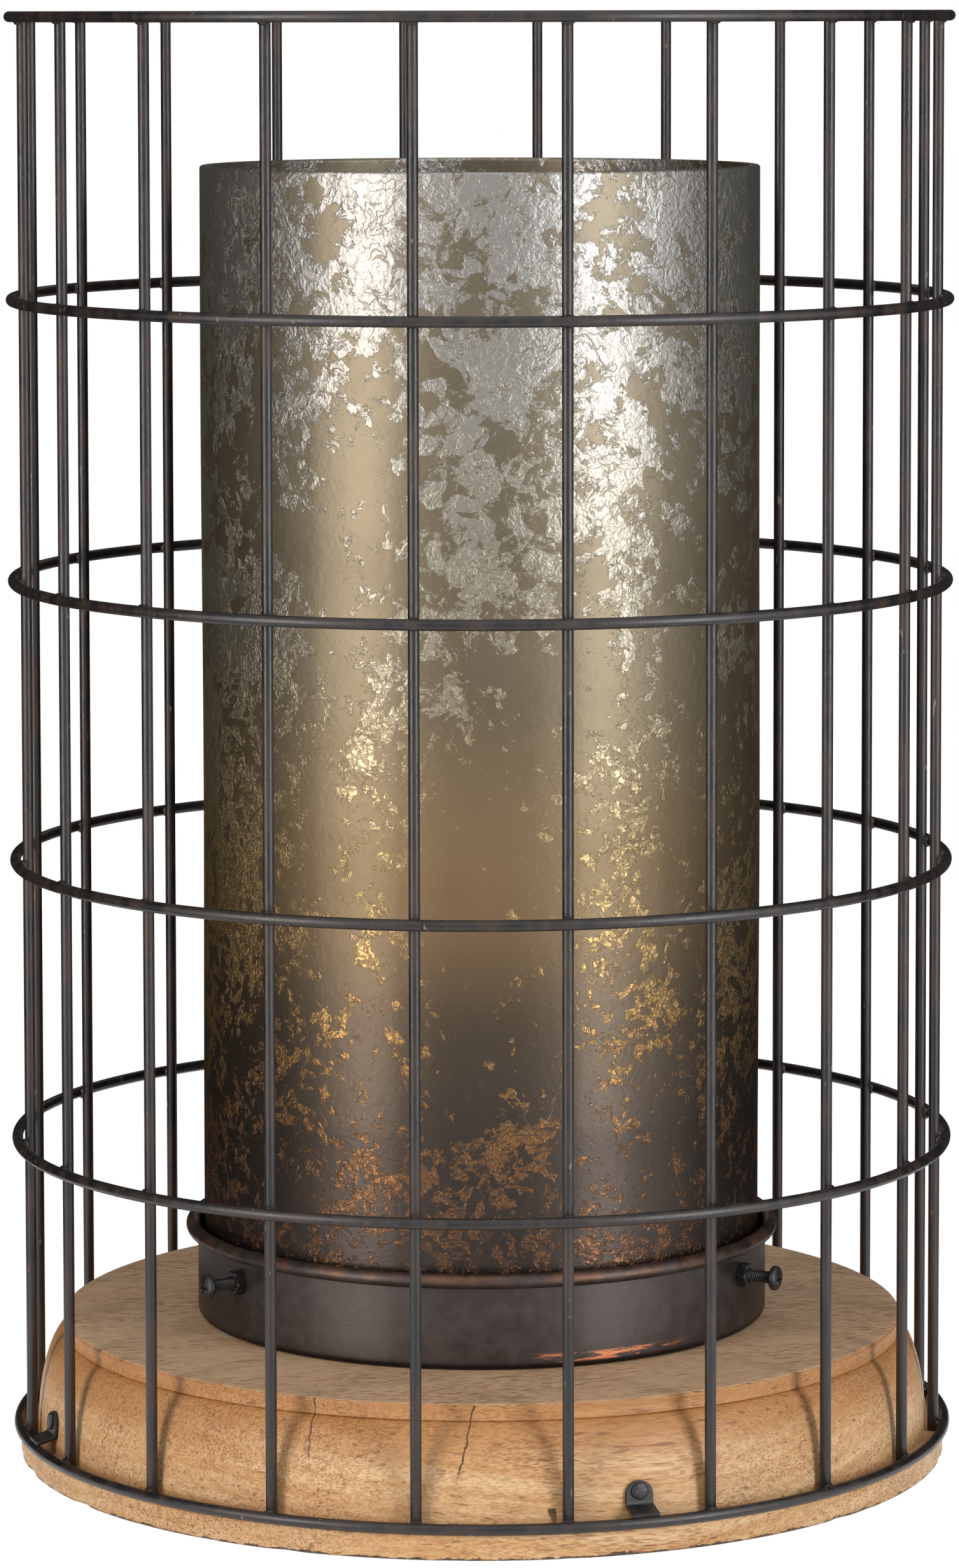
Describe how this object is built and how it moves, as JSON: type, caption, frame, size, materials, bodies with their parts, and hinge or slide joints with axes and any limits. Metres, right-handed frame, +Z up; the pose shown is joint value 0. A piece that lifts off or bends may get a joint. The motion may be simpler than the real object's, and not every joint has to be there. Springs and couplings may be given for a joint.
{
  "type": "hurricane candle lantern",
  "caption": "Hurricane candle lantern: leafed glass chimney held by set screws in a spun gallery on a turned wooden base, inside a welded wire cage.",
  "frame": {"origin": "centre of the wooden base's underside", "axes": "+Z up along the lantern's axis, -Y towards the front of the picture, +X to its right"},
  "size_m": [0.3034, 0.3034, 0.4645],
  "materials": {
    "stained_wood": "stained and waxed, turned, with a painted bottom edge",
    "gallery_metal": "dark bronze satin",
    "cage_wire": "dark bronze satin",
    "black_hardware": "black oxide",
    "leafed_glass": "tinted, with crinkled metal leaf",
    "candle_wax": "wax",
    "wick_cotton": "charred cotton"
  },
  "bodies": {
    "lantern": {"wood_base": "stained_wood", "gallery_cup": "gallery_metal", "gallery_nuts": "black_hardware", "gallery_wood_screws": "black_hardware", "cage_ring_bottom": "cage_wire", "cage_ring_5": "cage_wire", "cage_ring_4": "cage_wire", "cage_ring_3": "cage_wire", "cage_ring_2": "cage_wire", "cage_ring_top": "cage_wire", "cage_rod_01": "cage_wire", "cage_rod_02": "cage_wire", "cage_rod_03": "cage_wire", "cage_rod_04": "cage_wire", "cage_rod_05": "cage_wire", "cage_rod_06": "cage_wire", "cage_rod_07": "cage_wire", "cage_rod_08": "cage_wire", "cage_rod_09": "cage_wire", "cage_rod_10": "cage_wire", "cage_rod_11": "cage_wire", "cage_rod_12": "cage_wire", "cage_rod_13": "cage_wire", "cage_rod_14": "cage_wire", "cage_rod_15": "cage_wire", "cage_rod_16": "cage_wire", "cage_rod_17": "cage_wire", "cage_rod_18": "cage_wire", "cage_rod_19": "cage_wire", "cage_rod_20": "cage_wire", "fixing_tab_1": "black_hardware", "fixing_tab_2": "black_hardware", "fixing_tab_3": "black_hardware", "fixing_tab_4": "black_hardware", "tab_nails": "black_hardware"},
    "chimney": {"glass_chimney": "leafed_glass"},
    "candle": {"pillar_candle": "candle_wax", "candle_wick": "wick_cotton"},
    "set_screw_1": {"set_screw_1": "black_hardware"},
    "set_screw_2": {"set_screw_2": "black_hardware"},
    "set_screw_3": {"set_screw_3": "black_hardware"}
  },
  "joints": [
    {"name": "chimney_lift", "type": "slide", "parent": "lantern", "child": "chimney", "axis": [0, 0, 1], "range_m": [0, 0.43]},
    {"name": "candle_lift", "type": "slide", "parent": "lantern", "child": "candle", "axis": [0, 0, 1], "range_m": [0, 0.43]},
    {"name": "set_screw_1_slide", "type": "slide", "parent": "lantern", "child": "set_screw_1", "axis": [0.8965, -0.4431, 0], "range_m": [0, 0.0035]},
    {"name": "set_screw_2_slide", "type": "slide", "parent": "lantern", "child": "set_screw_2", "axis": [-0.0645, 0.9979, 0], "range_m": [0, 0.0035]},
    {"name": "set_screw_3_slide", "type": "slide", "parent": "lantern", "child": "set_screw_3", "axis": [-0.832, -0.5548, 0], "range_m": [0, 0.0035]}
  ]
}
